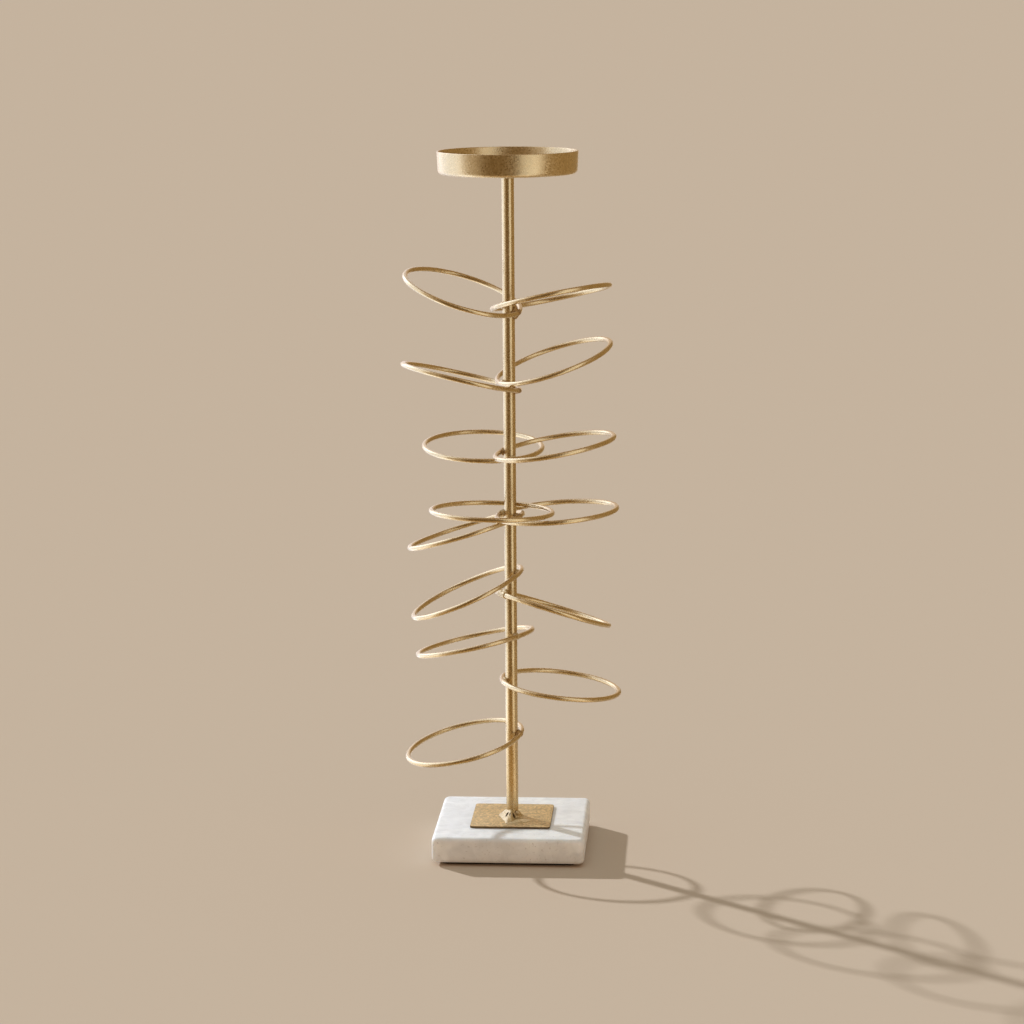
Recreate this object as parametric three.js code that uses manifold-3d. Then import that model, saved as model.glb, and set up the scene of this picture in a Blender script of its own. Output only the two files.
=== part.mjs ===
// Pillar-candle holder: a shallow brass dish on a slim stem, dressed with wire rings that are
// threaded over the stem and tack-welded to it, standing on a square marble base.
// Millimetres, +Z up. The origin is the middle of the underside of the pad.

import * as THREE from 'three';
import { mergeVertices } from 'three/addons/utils/BufferGeometryUtils.js';
import Module from 'manifold-3d';

const wasm = await Module();
wasm.setup();

// Marble base and its pad
const BASE_SIDE = 100;
const BASE_HEIGHT = 17;
const BASE_CORNER = 4.5;
const BASE_EDGE = 3;
const PAD_INSET = 6;
const PAD_HEIGHT = 2;

// Fixing screw, its washer and the counterbore that hides them
const SCREW_DIAMETER = 4;
const SCREW_HEAD_DIAMETER = 8;
const SCREW_HEAD_HEIGHT = 2.6;
const SCREW_HEAD_ROUND = 1.2;
const SCREW_TIP = 1;
const SCREW_GRIP = 12;
const SCREW_RECESS = 3.4;
const WASHER_DIAMETER = 12;
const WASHER_HEIGHT = 1;

// Plate and stem
const PLATE_SIDE = 53;
const PLATE_HEIGHT = 1.5;
const PLATE_CORNER = 2.5;
const STEM_DIAMETER = 8;
const STEM_LENGTH = 427;
const STEM_BELOW_RINGS = 56.4;
const STEM_ABOVE_RINGS = 84.6;

// Wire rings
const WIRE_DIAMETER = 3.2;
const RING_DIAMETER = 78;

// Candle dish
const DISH_DIAMETER = 91;
const DISH_HEIGHT = 14.7;
const DISH_FLARE = 0.7;
const DISH_WALL = 1;
const DISH_EDGE = 2.5;

// Welds
const FOOT_WELD_LEG = 5.5;
const DISH_WELD_LEG = 3;
const TACK_LEG = 1.9;
const TACK_SPREAD = 0.9; // share of the stem's radius that a tack spreads to each side

// Clearances
const SCREW_CLEARANCE = 0.3;
const BORE_CLEARANCE = 1;
const WELD_GAP = 0.3;
const RING_GAP = 0.3;

// Search for the height where a ring clears the ones below
const LIFT_STEP = 0.2;
const WIRE_POINTS = 360;

// Facets
const STEM_SIDES = 24;
const BORE_SIDES = 24;
const WIRE_SIDES = 8;
const RING_STEPS = 36;
const DISH_STEPS = 48;
const ARC_STEPS = 5;
const BEVEL_STEPS = 3;
const RIM_STEPS = 3;
const TACK_SIDES = 8;

// Rings from the foot upwards. Each ring is welded `at` percent of the stretch of stem that has
// rings. Its middle lies at `heading` degrees round the stem from +X, its far end is lifted by
// `rise` degrees, and it is turned by `roll` degrees about its heading.
const RINGS = [
  { at: 0, heading: 170, rise: -11.8, roll: -6.1 },
  { at: 12.7, heading: 12.5, rise: -6.8, roll: 0.2 },
  { at: 23.4, heading: 142.5, rise: -13.4, roll: -3.2 },
  { at: 33.3, heading: 30, rise: -19.8, roll: -0.8 },
  { at: 38.2, heading: 166, rise: -22.6, roll: -6 },
  { at: 51.4, heading: 162, rise: -17.3, roll: -1.3 },
  { at: 52, heading: -19, rise: 4.5, roll: 0.9 },
  { at: 53.9, heading: 253, rise: 2.7, roll: -0.7 },
  { at: 64.9, heading: 126, rise: 5.1, roll: -1.7 },
  { at: 66.3, heading: -23, rise: 8.8, roll: 4.2 },
  { at: 80.5, heading: 169, rise: 11.6, roll: 7.5 },
  { at: 82.2, heading: 24, rise: 18.7, roll: -1.5 },
  { at: 98.2, heading: 169, rise: 19.2, roll: -4.4 },
  { at: 100, heading: 37, rise: 4.4, roll: -13.5 },
];

// Finishes
const BRASS = { color: 0xb8935a, roughness: 0.36, metalness: 1 };
const WELD_BRASS = { color: 0xa37c46, roughness: 0.5, metalness: 1 };
const MARBLE = { color: 0xe6e4e0, roughness: 0.28, metalness: 0 };
const FELT = { color: 0x1c1a19, roughness: 0.95, metalness: 0 };
const STEEL = { color: 0x9a9a9a, roughness: 0.4, metalness: 1 };

// Radii and levels that follow from the sizes above
const stemRadius = STEM_DIAMETER / 2;
const wireRadius = WIRE_DIAMETER / 2;
const ringRadius = RING_DIAMETER / 2;
const screwRadius = SCREW_DIAMETER / 2;
const screwBore = screwRadius + SCREW_CLEARANCE;
const ringReach = stemRadius + wireRadius + RING_GAP;
const slabBottom = PAD_HEIGHT;
const slabTop = slabBottom + BASE_HEIGHT;
const plateTop = slabTop + PLATE_HEIGHT;
const headBottom = slabBottom + SCREW_RECESS;
const headTop = headBottom + SCREW_HEAD_HEIGHT;
const washerTop = headTop + WASHER_HEIGHT;
const { degToRad } = THREE.MathUtils;

/** A named mesh with a material of its own. */
function piece(name, geometry, finish) {
  const mesh = new THREE.Mesh(geometry, new THREE.MeshStandardMaterial(finish));
  mesh.name = name;
  return mesh;
}

/** A closed geometry as a solid that can be cut. */
function solidOf(geometry) {
  const bare = geometry.clone();
  bare.deleteAttribute('normal');
  bare.deleteAttribute('uv');
  const merged = mergeVertices(bare);
  return new wasm.Manifold(new wasm.Mesh({
    numProp: 3,
    vertProperties: Float32Array.from(merged.attributes.position.array),
    triVerts: Uint32Array.from(merged.index.array),
  }));
}

/** The geometry with every cutter taken out of it. */
function cut(geometry, cutters) {
  const body = cutters.reduce((rest, cutter) => rest.subtract(solidOf(cutter)), solidOf(geometry));
  const { vertProperties, triVerts } = body.getMesh();
  const result = new THREE.BufferGeometry();
  result.setAttribute('position', new THREE.BufferAttribute(vertProperties, 3));
  result.setIndex(new THREE.BufferAttribute(triVerts, 1));
  result.computeVertexNormals();
  return result;
}

/** An upright round bar from one level to another. */
function bar(radius, bottom, top, sides) {
  const geometry = new THREE.CylinderGeometry(radius, radius, top - bottom, sides);
  return geometry.rotateX(Math.PI / 2).translate(0, 0, (bottom + top) / 2);
}

/** A profile of [radius, level] points turned about the Z axis. */
function turned(points, steps) {
  const profile = points.map(([radius, level]) => new THREE.Vector2(radius, level));
  return new THREE.LatheGeometry(profile, steps).rotateX(Math.PI / 2);
}

/** Points of an arc in a profile, with its angles in degrees. */
function arc(centreRadius, centreLevel, radius, from, to, steps = ARC_STEPS) {
  return Array.from({ length: steps + 1 }, (_, i) => {
    const angle = degToRad(from + (to - from) * i / steps);
    return [centreRadius + radius * Math.cos(angle), centreLevel + radius * Math.sin(angle)];
  });
}

/** A square outline with round corners, centred on the stem. */
function roundedSquare(side, corner) {
  const reach = side / 2 - corner;
  const outline = new THREE.Shape();
  [[1, -1], [1, 1], [-1, 1], [-1, -1]].forEach(([x, y], i) => {
    const start = (i - 1) * Math.PI / 2;
    outline.absarc(x * reach, y * reach, corner, start, start + Math.PI / 2, false);
  });
  return outline;
}

/** A square slab with round corners, and with its top and bottom edges rounded over. */
function slab(side, corner, edge, bottom, height) {
  const geometry = new THREE.ExtrudeGeometry(roundedSquare(side, corner), {
    depth: height - 2 * edge,
    curveSegments: ARC_STEPS,
    bevelEnabled: edge > 0,
    bevelSize: edge,
    bevelThickness: edge,
    bevelOffset: -edge,
    bevelSegments: BEVEL_STEPS,
  });
  return geometry.translate(0, 0, bottom + edge);
}

/** Pad, slab, screw and washer: everything below the plate. */
function base() {
  const group = new THREE.Group();
  const boreRadius = screwRadius + BORE_CLEARANCE;
  const counterboreRadius = WASHER_DIAMETER / 2 + BORE_CLEARANCE;
  const marble = cut(slab(BASE_SIDE, BASE_CORNER, BASE_EDGE, slabBottom, BASE_HEIGHT), [
    bar(boreRadius, slabBottom - BORE_CLEARANCE, slabTop + BORE_CLEARANCE, BORE_SIDES),
    bar(counterboreRadius, slabBottom - BORE_CLEARANCE, washerTop, BORE_SIDES),
  ]);
  const screwTop = plateTop + SCREW_GRIP;
  const headRadius = SCREW_HEAD_DIAMETER / 2;
  const screw = [
    [0, headBottom],
    [headRadius - SCREW_HEAD_ROUND, headBottom],
    [headRadius, headBottom + SCREW_HEAD_ROUND],
    [headRadius, headTop],
    [screwRadius, headTop],
    [screwRadius, screwTop - SCREW_TIP],
    [screwRadius - SCREW_TIP, screwTop],
    [0, screwTop],
  ];
  const washer = [
    [screwBore, headTop],
    [WASHER_DIAMETER / 2, headTop],
    [WASHER_DIAMETER / 2, washerTop],
    [screwBore, washerTop],
    [screwBore, headTop],
  ];
  const padSide = BASE_SIDE - 2 * PAD_INSET;
  group.add(
    piece('felt_pad', slab(padSide, BASE_CORNER, 0, 0, PAD_HEIGHT), FELT),
    piece('marble_base', marble, MARBLE),
    piece('fixing_screw', turned(screw, BORE_SIDES), STEEL),
    piece('flat_washer', turned(washer, BORE_SIDES), STEEL),
  );
  return group;
}

/** A ring of weld in the corner between the stem and a flat face, with a hollow slope. */
function fillet(leg) {
  const inner = stemRadius + WELD_GAP;
  const outer = inner + leg;
  return [[inner, 0], ...arc(outer, leg, leg, 270, 180), [inner, 0]];
}

/** Plate and stem with the weld between them. */
function column() {
  const group = new THREE.Group();
  group.position.z = plateTop;
  const plate = cut(slab(PLATE_SIDE, PLATE_CORNER, 0, -PLATE_HEIGHT, PLATE_HEIGHT), [
    bar(screwBore, -PLATE_HEIGHT - BORE_CLEARANCE, BORE_CLEARANCE, BORE_SIDES),
  ]);
  const tappedDepth = SCREW_GRIP + BORE_CLEARANCE;
  const stem = cut(bar(stemRadius, 0, STEM_LENGTH, STEM_SIDES), [
    bar(screwBore, -BORE_CLEARANCE, tappedDepth, BORE_SIDES),
  ]);
  group.add(
    piece('base_plate', plate, BRASS),
    piece('stem', stem, BRASS),
    piece('foot_weld', turned(fillet(FOOT_WELD_LEG), STEM_SIDES), WELD_BRASS),
  );
  return group;
}

/** The dish and the fillet under it, with the dish's underside at level 0. */
function dish() {
  const group = new THREE.Group();
  const outer = DISH_DIAMETER / 2;
  const foot = outer - DISH_FLARE;
  const inner = foot - DISH_WALL;
  const innerEdge = DISH_EDGE - DISH_WALL;
  const rim = DISH_WALL / 2;
  const section = [
    [0, 0],
    ...arc(foot - DISH_EDGE, DISH_EDGE, DISH_EDGE, 270, 360),
    ...arc(outer - rim, DISH_HEIGHT - rim, rim, 0, 180, RIM_STEPS),
    ...arc(inner - innerEdge, DISH_WALL + innerEdge, innerEdge, 360, 270),
    [0, DISH_WALL],
  ];
  const weld = fillet(DISH_WELD_LEG).map(([radius, level]) => [radius, -level]).reverse();
  group.add(
    piece('candle_dish', turned(section, DISH_STEPS), BRASS),
    piece('dish_weld', turned(weld, STEM_SIDES), WELD_BRASS),
  );
  return group;
}

/** A ring of wire whose inner side lies at the origin and whose middle lies along +X. */
function hoop(tubeRadius) {
  const geometry = new THREE.TorusGeometry(ringRadius, tubeRadius, WIRE_SIDES, RING_STEPS);
  return geometry.translate(ringRadius, 0, 0);
}

/** A ring's place: one group turns round the stem, and its child tilts where the ring is welded. */
function ringSpot(ring, height) {
  const turn = new THREE.Group();
  turn.position.z = height;
  turn.rotation.z = degToRad(ring.heading);
  const tilt = new THREE.Group();
  tilt.position.x = -ringReach;
  tilt.rotation.set(degToRad(ring.roll), degToRad(-ring.rise), 0, 'YXZ');
  turn.add(tilt);
  turn.updateMatrixWorld(true);
  const points = Array.from({ length: WIRE_POINTS }, (_, i) => {
    const angle = 2 * Math.PI * i / WIRE_POINTS;
    const point = new THREE.Vector3(1 + Math.cos(angle), Math.sin(angle), 0);
    return point.multiplyScalar(ringRadius).applyMatrix4(tilt.matrixWorld);
  });
  return { turn, tilt, height, points };
}

/** Whether the wires at two places keep their gap. */
function clear(spot, other) {
  const least = (WIRE_DIAMETER + RING_GAP) ** 2;
  return spot.points.every(a => other.points.every(b => a.distanceToSquared(b) >= least));
}

/** Places of all rings, each at its share of the stem or, if it would cut a ring below, above it. */
function stackRings() {
  const spots = [];
  const stretch = STEM_LENGTH - STEM_BELOW_RINGS - STEM_ABOVE_RINGS;
  for (const ring of RINGS) {
    let spot = ringSpot(ring, STEM_BELOW_RINGS + stretch * ring.at / 100);
    while (!spots.every(below => clear(spot, below))) {
      spot = ringSpot(ring, spot.height + LIFT_STEP);
    }
    spots.push(spot);
  }
  return spots;
}

/** The bead round the place where a ring touches the stem, cut clear of stem and wires. */
function tack(spot, cutters) {
  const bead = new THREE.SphereGeometry(1, TACK_SIDES, TACK_SIDES / 2).rotateX(Math.PI / 2);
  bead.scale(wireRadius + WELD_GAP, stemRadius * TACK_SPREAD, wireRadius + TACK_LEG);
  bead.translate(-stemRadius, 0, 0).applyMatrix4(spot.turn.matrixWorld);
  return cut(bead, cutters);
}

/** All rings and their tack welds, measured from the foot of the stem. */
function rings() {
  const group = new THREE.Group();
  group.position.z = plateTop;
  const spots = stackRings();
  const wires = spots.map(spot => hoop(wireRadius + WELD_GAP).applyMatrix4(spot.tilt.matrixWorld));
  const stem = bar(stemRadius + WELD_GAP, 0, STEM_LENGTH, STEM_SIDES);
  spots.forEach((spot, i) => {
    const name = `ring_${String(i + 1).padStart(2, '0')}`;
    spot.tilt.add(piece(name, hoop(wireRadius), BRASS));
    group.add(spot.turn, piece(`${name}_weld`, tack(spot, [stem, ...wires]), WELD_BRASS));
  });
  return group;
}

const top = dish();
top.position.z = plateTop + STEM_LENGTH;

const candleHolder = new THREE.Group();
candleHolder.add(base(), column(), rings(), top);

export default candleHolder;
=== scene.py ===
"""Looks of a tall pillar-candle holder: brass dish, stem and wire rings on a marble foot."""

import logging
import math
from contextlib import contextmanager
from dataclasses import dataclass
from enum import Enum
from typing import Callable, Iterator, Sequence

import bmesh
import bpy
import numpy as np
from mathutils import Euler, Matrix, Vector


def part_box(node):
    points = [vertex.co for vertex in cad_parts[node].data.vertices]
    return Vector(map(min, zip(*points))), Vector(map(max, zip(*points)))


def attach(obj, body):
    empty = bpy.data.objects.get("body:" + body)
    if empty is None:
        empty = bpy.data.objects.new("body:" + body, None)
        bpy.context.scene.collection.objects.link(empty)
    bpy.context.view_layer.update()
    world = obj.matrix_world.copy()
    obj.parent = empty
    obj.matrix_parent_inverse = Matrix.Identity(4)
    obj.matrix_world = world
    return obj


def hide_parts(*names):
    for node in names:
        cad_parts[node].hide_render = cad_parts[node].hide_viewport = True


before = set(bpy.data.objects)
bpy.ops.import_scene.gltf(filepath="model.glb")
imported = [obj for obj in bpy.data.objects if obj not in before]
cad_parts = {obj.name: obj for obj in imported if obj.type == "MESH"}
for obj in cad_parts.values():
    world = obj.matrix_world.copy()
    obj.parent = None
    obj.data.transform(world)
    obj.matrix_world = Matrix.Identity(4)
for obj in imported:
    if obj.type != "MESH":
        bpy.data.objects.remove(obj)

BODY = "root"
RING_COUNT = 14

# Lengths are in metres. Levels that differ by less than TINY count as one.
MM = 0.001
TINY = 0.02 * MM

# Marks on the points of a piece: browned by heat near a weld, or painted dark as shade on the plate's sides
# and in weld pits
HEAT_AND_SHADE = "weld_heat_and_shade"

# Facets across a wide, a usual and a narrow round, and round a drilled hole
WIDE_ROUND = 8
ROUND = 6
NARROW_ROUND = 3
HOLE_SIDES = 48

# How far a drill passes beyond the faces that it opens
OVERRUN = 1 * MM

# How far up or down a face's normal has to point for the face to count as level
FACING = 0.9

Piece = bpy.types.Object
Material = bpy.types.Material
Socket = bpy.types.NodeSocket
Colour = tuple[float, float, float, float]
Point = tuple[float, float, float]
Span = tuple[float, float]
Value = Socket | float | Point | Colour
EdgeTest = Callable[[bmesh.types.BMEdge], bool]

log = logging.getLogger("candle_holder")


class Slot(Enum):
    """The record's material slots that modelled pieces use."""

    BRASS = "brass"
    WELD = "weld"
    MARBLE = "marble"
    FELT = "felt"


class Pick(Enum):
    """What a selection in edit mode holds."""

    POINT = "VERT"
    EDGE = "EDGE"
    FACE = "FACE"


def select(*pieces: Piece) -> None:
    """Selects these objects alone, and makes the first one active.

    Args:
        pieces: The objects to select.
    """
    bpy.ops.object.select_all(action="DESELECT")
    for piece in pieces:
        piece.select_set(True)
    bpy.context.view_layer.objects.active = pieces[0]


def take(name: str) -> Piece:
    """Names the primitive that was just added and puts its place into its mesh.

    Args:
        name: The piece's name.

    Returns:
        The piece, at the origin, unturned and unscaled.
    """
    piece = bpy.context.active_object
    piece.name = name
    piece.data.name = name
    select(piece)
    bpy.ops.object.transform_apply(location=True, rotation=True, scale=True)
    return piece


@contextmanager
def editing(piece: Piece) -> Iterator[None]:
    """Holds one piece in edit mode.

    Args:
        piece: The piece to edit.

    Yields:
        Nothing, while the piece is in edit mode.
    """
    select(piece)
    bpy.ops.object.mode_set(mode="EDIT")
    try:
        yield
    finally:
        bpy.ops.object.mode_set(mode="OBJECT")


def choose(piece: Piece, kind: Pick, keep: Callable[..., bool]) -> None:
    """Selects the points, edges or faces of a piece in edit mode that pass a test.

    Args:
        piece: The piece that is in edit mode.
        kind: What is selected.
        keep: The test, given one point, edge or face.
    """
    bpy.ops.mesh.select_mode(type=kind.value)
    bpy.ops.mesh.select_all(action="DESELECT")
    shape = bmesh.from_edit_mesh(piece.data)
    parts = {Pick.POINT: shape.verts, Pick.EDGE: shape.edges, Pick.FACE: shape.faces}[kind]
    for part in parts:
        if keep(part):
            part.select_set(True)
    shape.select_flush_mode()
    bmesh.update_edit_mesh(piece.data)


def round_edges(piece: Piece, keep: EdgeTest, radius: float, steps: int) -> None:
    """Rounds the edges of a piece that pass a test.

    Args:
        piece: The piece to work on.
        keep: The test, given one edge.
        radius: The radius of the round.
        steps: Facets across the round.
    """
    with editing(piece):
        choose(piece, Pick.EDGE, keep)
        bpy.ops.mesh.bevel(offset=radius, segments=steps, profile=0.5, affect="EDGES")


def modify(piece: Piece, kind: str, **settings: object) -> None:
    """Adds a modifier to a piece, sets it and applies it.

    Args:
        piece: The piece to work on.
        kind: Blender's name of the modifier.
        settings: The modifier's own settings.
    """
    select(piece)
    modifier = piece.modifiers.new(kind.lower(), kind)
    for key, value in settings.items():
        setattr(modifier, key, value)
    bpy.ops.object.modifier_apply(modifier=modifier.name)


def cut(piece: Piece, cutter: Piece) -> None:
    """Cuts a shape out of a piece, after which the shape is gone."""
    modify(piece, "BOOLEAN", operation="DIFFERENCE", solver="EXACT", object=cutter)
    bpy.data.objects.remove(cutter)


def drill(piece: Piece, radius: float, bottom: float, top: float) -> None:
    """Cuts an upright round hole on the stem's axis.

    Args:
        piece: The piece to drill.
        radius: The hole's radius.
        bottom: The level where the hole starts.
        top: The level where the hole ends.
    """
    bpy.ops.mesh.primitive_cylinder_add(
        vertices=HOLE_SIDES, radius=radius, depth=top - bottom, location=(0, 0, (bottom + top) / 2)
    )
    cut(piece, take("cutter"))


def trim(piece: Piece, level: float, above: bool) -> None:
    """Cuts a piece off at a level and closes the cut.

    Args:
        piece: The piece to trim.
        level: The level of the cut.
        above: Whether what lies above the cut goes, and not what lies below.
    """
    with editing(piece):
        bpy.ops.mesh.select_all(action="SELECT")
        bpy.ops.mesh.bisect(
            plane_co=(0, 0, level),
            plane_no=(0, 0, 1),
            clear_inner=not above,
            clear_outer=above,
            use_fill=True,
        )


def block(name: str, node: str, corner: float, steps: int) -> Piece:
    """A square block in the place of a node, with its upright corners rounded.

    Args:
        name: The block's name.
        node: The frame's node that it stands for.
        corner: The radius of the corners.
        steps: Facets across a corner.

    Returns:
        The block.
    """
    low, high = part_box(node)
    bpy.ops.mesh.primitive_cube_add(size=1, location=(low + high) / 2, scale=high - low)
    piece = take(name)
    round_edges(piece, rising(TINY), corner, steps)
    return piece


def fuse(name: str, *lumps: Piece) -> Piece:
    """Joins lumps of one piece into one object.

    Args:
        name: The joined piece's name.
        lumps: The objects to join, which then are gone.

    Returns:
        The joined piece.
    """
    select(*lumps)
    bpy.ops.object.join()
    return take(name)


def settle(piece: Piece, finish: Material, slot: Slot, *nodes: str, sharp: float = 32) -> None:
    """Gives a finished piece its material and shading, and ties it to the frame.

    Args:
        piece: The finished piece.
        finish: Its material.
        slot: The record's slot that the finish belongs to; not used.
        nodes: The frame's nodes that the piece stands for.
        sharp: Edges that turn by more than this many degrees stay sharp.
    """
    piece.data.materials.clear()
    piece.data.materials.append(finish)
    select(piece)
    bpy.ops.object.shade_smooth_by_angle(angle=math.radians(sharp))
    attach(piece, BODY)
    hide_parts(*nodes)
    log.info("%s: %d faces, stands for %s", piece.name, len(piece.data.polygons), ", ".join(nodes))


def rising(least: float) -> EdgeTest:
    """A test for edges that rise by more than a length."""
    return lambda e: abs(e.verts[0].co.z - e.verts[1].co.z) > least


def lying_at(*levels: float) -> EdgeTest:
    """A test for edges that lie at one of some levels."""
    return lambda e: any(all(abs(v.co.z - level) < TINY for v in e.verts) for level in levels)


def points_of(piece: Piece) -> np.ndarray:
    """The points of a piece, one a row."""
    return np.array([tuple(v.co) for v in piece.data.vertices])


def stem_radius() -> float:
    """The stem's radius, read from the frame."""
    low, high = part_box("stem")
    return (high.x - low.x) / 2


def unevenness(name: str, size: float, coloured: bool = False) -> bpy.types.Texture:
    """A cloudy texture that drives a small unevenness of a surface.

    Args:
        name: The texture's name.
        size: The size of its clouds.
        coloured: Whether its three channels differ, to push a surface in all directions.

    Returns:
        The texture.
    """
    texture = bpy.data.textures.new(name, "CLOUDS")
    texture.noise_scale = size
    texture.cloud_type = "COLOR" if coloured else "GRAYSCALE"
    return texture


@dataclass(frozen=True)
class Relief:
    """The fine relief of a finish: its depth, and how strongly it shows."""

    depth: float
    strength: float


class Mixture:
    """A procedural material while it is being mixed: its nodes, its shader and its coordinates."""

    # Places of the colours among the sockets of a node that mixes two colours
    FIRST_COLOUR = 6
    SECOND_COLOUR = 7
    MIXED_COLOUR = 2

    def __init__(self, name: str) -> None:
        """Starts a material with one shader.

        Args:
            name: The material's name.
        """
        self.material = bpy.data.materials.new(name)
        self.material.use_nodes = True
        self.tree = self.material.node_tree
        self.shader = self.tree.nodes["Principled BSDF"]
        self.place = self.add("ShaderNodeTexCoord").outputs["Object"]

    def add(
        self, kind: str, inputs: dict[str | int, Value] | None = None, **settings: str
    ) -> bpy.types.Node:
        """Adds a node.

        Args:
            kind: The node's type.
            inputs: What goes into its inputs: outputs of other nodes, or values.
            settings: The node's own settings.

        Returns:
            The new node.
        """
        node = self.tree.nodes.new(kind)
        for key, setting in settings.items():
            setattr(node, key, setting)
        for key, value in (inputs or {}).items():
            if isinstance(value, Socket):
                self.tree.links.new(value, node.inputs[key])
            else:
                node.inputs[key].default_value = value
        return node

    def drive(self, socket: str, source: Socket) -> None:
        """Joins an output to one of the shader's inputs."""
        self.tree.links.new(source, self.shader.inputs[socket])

    def fix(self, **values: Value) -> None:
        """Sets inputs of the shader, with underscores for spaces, that are the same all over."""
        for socket, value in values.items():
            self.shader.inputs[socket.replace("_", " ")].default_value = value

    def stretched(self, scale: Point) -> Socket:
        """The object's coordinates, scaled along each axis."""
        return self.add("ShaderNodeMapping", {"Vector": self.place, "Scale": scale}).outputs["Vector"]

    def noise(
        self, size: float, detail: float = 3, twist: float = 0, place: Socket | None = None
    ) -> Socket:
        """A noise pattern.

        Args:
            size: The size of its patches.
            detail: How many finer layers it has.
            twist: How far it is distorted.
            place: The coordinates to read, if not the object's own.

        Returns:
            The pattern, from 0 to 1.
        """
        inputs = {"Vector": place or self.place, "Scale": 1 / size, "Detail": detail, "Distortion": twist}
        return self.add("ShaderNodeTexNoise", inputs).outputs[0]

    def cells(self, size: float) -> bpy.types.Node:
        """A pattern of small cells, each with its own random colour."""
        return self.add("ShaderNodeTexVoronoi", {"Vector": self.place, "Scale": 1 / size})

    def remap(self, source: Socket, to: Span, span: Span = (0, 1)) -> Socket:
        """Stretches a value from its own span to another one."""
        inputs = dict(zip(("Value", "From Min", "From Max", "To Min", "To Max"), (source, *span, *to)))
        return self.add("ShaderNodeMapRange", inputs).outputs["Result"]

    def ramp(self, source: Socket, span: Span, first: Colour, second: Colour) -> Socket:
        """Turns a value into a colour.

        Args:
            source: The value.
            span: The value up to which the first colour holds, and the one from which the second does.
            first: The colour of low values.
            second: The colour of high values.

        Returns:
            The colour.
        """
        node = self.add("ShaderNodeValToRGB", {"Fac": source})
        for stop, place, colour in zip(node.color_ramp.elements, span, (first, second)):
            stop.position = place
            stop.color = colour
        return node.outputs["Color"]

    def blend(
        self, share: Socket | float, first: Socket | Colour, second: Socket | Colour, how: str = "MIX"
    ) -> Socket:
        """Blends two colours.

        Args:
            share: How much of the second colour there is.
            first: The first colour.
            second: The second colour.
            how: Blender's name of the blend.

        Returns:
            The blended colour.
        """
        inputs = {"Factor": share, self.FIRST_COLOUR: first, self.SECOND_COLOUR: second}
        node = self.add("ShaderNodeMix", inputs, data_type="RGBA", blend_type=how)
        return node.outputs[self.MIXED_COLOUR]

    def combine(self, how: str, first: Socket, second: Socket | float) -> Socket:
        """Works out one value from two, by one of Blender's operations."""
        return self.add("ShaderNodeMath", {0: first, 1: second}, operation=how).outputs[0]

    def attribute(self, name: str) -> Socket:
        """A value that the piece carries at each of its points."""
        return self.add("ShaderNodeAttribute", attribute_name=name).outputs["Fac"]

    def bump(self, height: Socket, relief: Relief, below: Socket | None = None) -> Socket:
        """Raises the surface in a fine relief.

        Args:
            height: The relief's heights, from 0 to 1.
            relief: Its depth and strength.
            below: The normal of a coarser relief that it lies on.

        Returns:
            The bumped normal.
        """
        inputs = {"Height": height, "Distance": relief.depth, "Strength": relief.strength}
        if below is not None:
            inputs["Normal"] = below
        return self.add("ShaderNodeBump", inputs).outputs["Normal"]


@dataclass(frozen=True)
class SatinBrass:
    """Lacquered brass with a powdery satin grain, browned a little by heat near welds; on the plate the
    same mark paints shade on its sides.
    """

    name: str = "satin_brass"
    pale: Colour = (0.63, 0.49, 0.272, 1)
    deep: Colour = (0.58, 0.437, 0.225, 1)
    browned: Colour = (0.36, 0.21, 0.08, 1)
    tint: float = 0.35
    tint_patches: Span = (0.5, 1.2)
    cloud: float = 22 * MM
    cloud_edge: Span = (0.3, 0.7)
    grain: float = 0.85 * MM
    grit: Relief = Relief(0.08 * MM, 0.4)
    speckle: float = 0.34
    smooth: float = 0.23
    rough: float = 0.45
    powder: float = 0.4 * MM
    powder_relief: Relief = Relief(0.03 * MM, 0.35)
    powder_rough: float = 0.06
    peel: float = 2.4 * MM
    peel_relief: Relief = Relief(0.05 * MM, 0.12)
    metal: float = 0.95
    lacquer: float = 0.35
    lacquer_rough: float = 0.3
    lacquer_ior: float = 1.5

    def material(self) -> Material:
        """Mixes the brass.

        Returns:
            The material.
        """
        mix = Mixture(self.name)
        cloud = mix.noise(self.cloud, detail=5)
        grain = mix.cells(self.grain)
        powder = mix.noise(self.powder, detail=2)
        metal = mix.ramp(cloud, self.cloud_edge, self.deep, self.pale)
        speck = mix.remap(grain.outputs["Color"], (1 - self.speckle / 2, 1 + self.speckle / 2))
        metal = mix.blend(1.0, metal, speck, "MULTIPLY")
        # Heat browning near the welds; on the plate the same mark paints shade on its sides and lower edges
        heat = mix.remap(mix.attribute(HEAT_AND_SHADE), (0, self.tint))
        patchy = mix.combine("MULTIPLY", heat, mix.remap(cloud, self.tint_patches))
        mix.drive("Base Color", mix.blend(patchy, metal, self.browned))
        worn = mix.remap(grain.outputs["Color"], (self.smooth, self.rough))
        dusty = mix.remap(powder, (-self.powder_rough, self.powder_rough))
        mix.drive("Roughness", mix.combine("ADD", worn, dusty))
        peel = mix.bump(mix.noise(self.peel, detail=2), self.peel_relief)
        grit = mix.bump(grain.outputs["Distance"], self.grit, below=peel)
        mix.drive("Normal", mix.bump(powder, self.powder_relief, below=grit))
        mix.fix(
            Metallic=self.metal,
            Coat_Weight=self.lacquer,
            Coat_Roughness=self.lacquer_rough,
            Coat_IOR=self.lacquer_ior,
        )
        return mix.material


DRAWN_BRASS = SatinBrass(
    "drawn_brass",
    grain=0.7 * MM,
    grit=Relief(0.05 * MM, 0.4),
    speckle=0.28,
    smooth=0.2,
    rough=0.35,
)

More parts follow.
